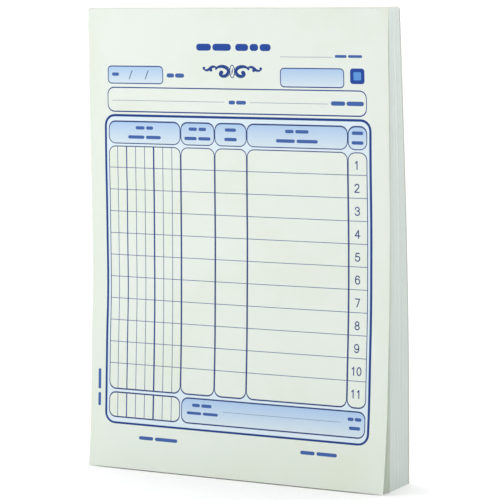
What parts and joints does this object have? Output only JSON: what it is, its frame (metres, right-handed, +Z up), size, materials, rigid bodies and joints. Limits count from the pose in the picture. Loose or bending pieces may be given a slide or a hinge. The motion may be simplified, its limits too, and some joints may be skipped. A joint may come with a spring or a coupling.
{
  "type": "invoice pad",
  "caption": "Thick pad of printed A5 invoice forms, glued along the head to a card back; the front leaves turn up over the head.",
  "frame": {"origin": "centre of the pad's box at its foot", "axes": "+Z up the page from foot to head, -Y out of the printed front, +X to the reader's right"},
  "size_m": [0.148, 0.0296, 0.211],
  "materials": {
    "paper": "smooth uncoated writing paper, off-white with a faint green cast, printed in blue on the front",
    "card": "plain pale grey pulp card, matte",
    "glue": "dried white padding glue, satin"
  },
  "bodies": {
    "block": {"backing_board": "card", "glue_film": "glue", "leaves_005_006": "paper", "leaves_007_008": "paper", "leaves_009_010": "paper", "leaves_011_012": "paper", "leaves_013_014": "paper", "leaves_015_016": "paper", "leaves_017_018": "paper", "leaves_019_020": "paper", "leaves_021_022": "paper", "leaves_023_024": "paper", "leaves_025_026": "paper", "leaves_027_028": "paper", "leaves_029_030": "paper", "leaves_031_032": "paper", "leaves_033_034": "paper", "leaves_035_036": "paper", "leaves_037_038": "paper", "leaves_039_040": "paper", "leaves_041_042": "paper", "leaves_043_044": "paper", "leaves_045_046": "paper", "leaves_047_048": "paper", "leaves_049_050": "paper", "leaves_051_052": "paper", "leaves_053_054": "paper", "leaves_055_056": "paper", "leaves_057_058": "paper", "leaves_059_060": "paper", "leaves_061_062": "paper", "leaves_063_064": "paper", "leaves_065_066": "paper", "leaves_067_068": "paper", "leaves_069_070": "paper", "leaves_071_072": "paper", "leaves_073_074": "paper", "leaves_075_076": "paper", "leaves_077_078": "paper", "leaves_079_080": "paper", "leaves_081_082": "paper", "leaves_083_084": "paper", "leaves_085_086": "paper", "leaves_087_088": "paper", "leaves_089_090": "paper", "leaves_091_092": "paper", "leaves_093_094": "paper", "leaves_095_096": "paper", "leaves_097_098": "paper", "leaves_099_100": "paper"},
    "front_leaf": {"leaf_001": "paper"},
    "second_leaf": {"leaf_002": "paper"},
    "third_leaf": {"leaf_003": "paper"},
    "fourth_leaf": {"leaf_004": "paper"}
  },
  "joints": [
    {"name": "fourth_leaf_turn", "type": "hinge", "parent": "block", "child": "fourth_leaf", "pos_m": [0, -0.01213, 0.21], "axis": [-1, 0, 0], "range_deg": [0, 180]},
    {"name": "third_leaf_turn", "type": "hinge", "parent": "fourth_leaf", "child": "third_leaf", "pos_m": [0, -0.01213, 0.21], "axis": [-1, 0, 0], "range_deg": [0, 180]},
    {"name": "second_leaf_turn", "type": "hinge", "parent": "third_leaf", "child": "second_leaf", "pos_m": [0, -0.01213, 0.21], "axis": [-1, 0, 0], "range_deg": [0, 180]},
    {"name": "front_leaf_turn", "type": "hinge", "parent": "second_leaf", "child": "front_leaf", "pos_m": [0, -0.01213, 0.21], "axis": [-1, 0, 0], "range_deg": [0, 180]}
  ]
}
